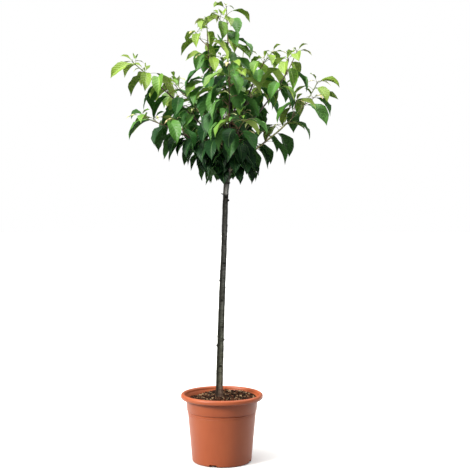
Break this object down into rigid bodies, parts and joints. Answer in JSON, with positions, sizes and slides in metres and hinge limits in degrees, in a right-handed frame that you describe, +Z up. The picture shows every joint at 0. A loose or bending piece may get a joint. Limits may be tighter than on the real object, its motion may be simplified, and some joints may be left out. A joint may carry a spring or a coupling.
{
  "type": "potted cherry tree",
  "caption": "Young grafted cherry tree in leaf, with a straight bare trunk and a spreading crown of drooping leaves, growing in a round nursery pot.",
  "frame": {"origin": "centre of the pot's flat underside, on the surface that the pot stands on", "axes": "+Z straight up along the pot's axis, +X to the right and +Y away from the viewer in the picture's view"},
  "size_m": [0.8216, 0.6852, 1.6727],
  "materials": {
    "pot_plastic": "terracotta-coloured moulded polypropylene, satin",
    "compost": "coarse bark compost, matt",
    "bark": "smooth grey-brown young cherry bark",
    "leaf": "green leaves with a soft sheen"
  },
  "bodies": {
    "root": {"pot": "pot_plastic", "soil": "compost", "trunk": "bark", "bough_right_low": "bark", "bough_left_low": "bark", "bough_back_low": "bark", "bough_front_right_low": "bark", "bough_left_arch": "bark", "bough_back_right": "bark", "bough_front": "bark", "bough_right_mid": "bark", "bough_back_left": "bark", "bough_left_upright": "bark", "bough_right_upper": "bark", "bough_back_upright": "bark", "bough_leader": "bark", "foliage_right_low": "leaf", "foliage_left_low": "leaf", "foliage_back_low": "leaf", "foliage_front_right_low": "leaf", "foliage_left_arch": "leaf", "foliage_back_right": "leaf", "foliage_front": "leaf", "foliage_right_mid": "leaf", "foliage_back_left": "leaf", "foliage_left_upright": "leaf", "foliage_right_upper": "leaf", "foliage_back_upright": "leaf", "foliage_leader": "leaf", "foliage_skirt_1": "leaf", "foliage_skirt_2": "leaf", "foliage_skirt_3": "leaf", "foliage_skirt_4": "leaf", "foliage_skirt_5": "leaf", "foliage_skirt_6": "leaf", "foliage_skirt_7": "leaf", "foliage_skirt_8": "leaf", "foliage_heart_1": "leaf", "foliage_heart_2": "leaf", "foliage_heart_3": "leaf", "foliage_heart_4": "leaf", "foliage_heart_5": "leaf", "foliage_heart_6": "leaf"}
  },
  "joints": []
}
